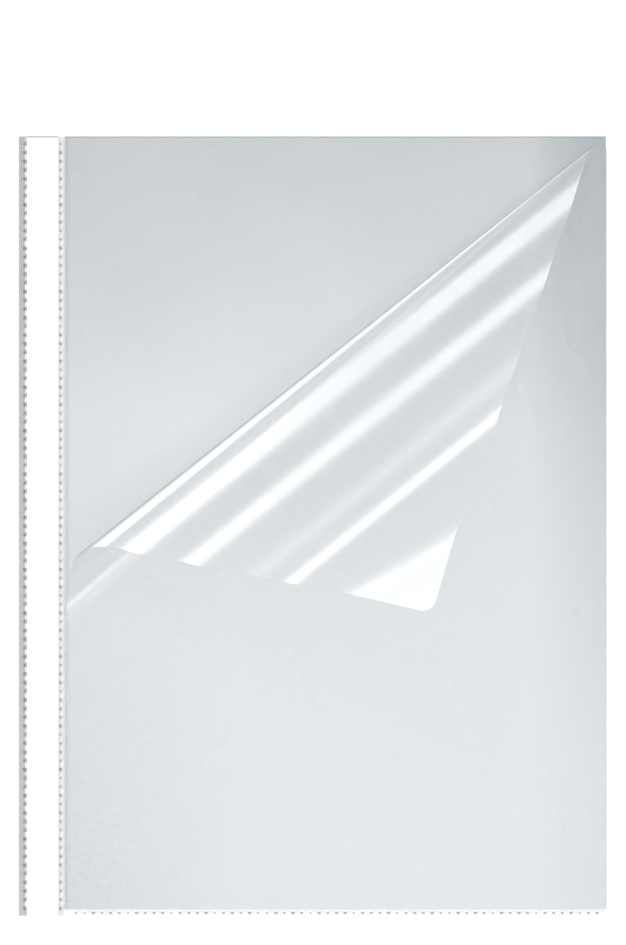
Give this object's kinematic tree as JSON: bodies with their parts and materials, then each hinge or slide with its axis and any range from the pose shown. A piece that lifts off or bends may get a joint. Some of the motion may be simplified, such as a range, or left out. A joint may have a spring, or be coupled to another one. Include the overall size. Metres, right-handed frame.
{
  "type": "sheet protector",
  "caption": "Clear A4 punched pocket of embossed film with a white reinforcement strip, open at the top and at the punched side, with the corner of its front film rolled back.",
  "frame": {"origin": "middle of the sheet, on the surface that it lies on", "axes": "+X across the page away from the punched margin, +Y up the page to its open top, +Z out of the front"},
  "size_m": [0.23, 0.305, 0.0721],
  "materials": {
    "film": "clear embossed polypropylene film, finely grained, satin to glossy",
    "weld": "film fused under heat, with a row of pressed dots",
    "strip": "opaque white plastic strip under film, plain"
  },
  "bodies": {
    "binding_margin": {"margin_back_film": "film", "reinforcement_strip": "strip", "margin_cover_film": "film", "outer_weld": "weld", "inner_weld": "weld"},
    "pocket": {"back_film": "film", "side_fold": "film", "bottom_weld": "weld", "front_film": "film"},
    "curl_1": {"curl_strip_1": "film"},
    "curl_2": {"curl_strip_2": "film"},
    "curl_3": {"curl_strip_3": "film"},
    "flap": {"corner_flap": "film"}
  },
  "joints": [
    {"name": "page_turn", "type": "hinge", "parent": "binding_margin", "child": "pocket", "pos_m": [-0.09685, 0, 0.00022], "axis": [0, -1, 0], "range_deg": [0, 90]},
    {"name": "curl_bend_1", "type": "hinge", "parent": "pocket", "child": "curl_1", "pos_m": [0.115, 0.1525, 0.00038], "axis": [0.742, 0.6704, 0], "range_deg": [-25.33, 0]},
    {"name": "curl_bend_2", "type": "hinge", "parent": "curl_1", "child": "curl_2", "pos_m": [0.115, 0.1525, 0.00038], "axis": [0.7737, 0.6332, -0.0231], "range_deg": [-50.67, 0]},
    {"name": "curl_bend_3", "type": "hinge", "parent": "curl_2", "child": "curl_3", "pos_m": [0.115, 0.1525, 0.00038], "axis": [0.7799, 0.6213, -0.0756], "range_deg": [-50.67, 0]},
    {"name": "curl_bend_4", "type": "hinge", "parent": "curl_3", "child": "flap", "pos_m": [0.115, 0.1525, 0.00038], "axis": [0.7561, 0.6436, -0.1187], "range_deg": [-25.33, 0]}
  ],
  "couplings": [
    {"joint": "curl_bend_1", "follows": "curl_bend_4", "ratio": 1},
    {"joint": "curl_bend_2", "follows": "curl_bend_4", "ratio": 2},
    {"joint": "curl_bend_3", "follows": "curl_bend_4", "ratio": 2}
  ]
}
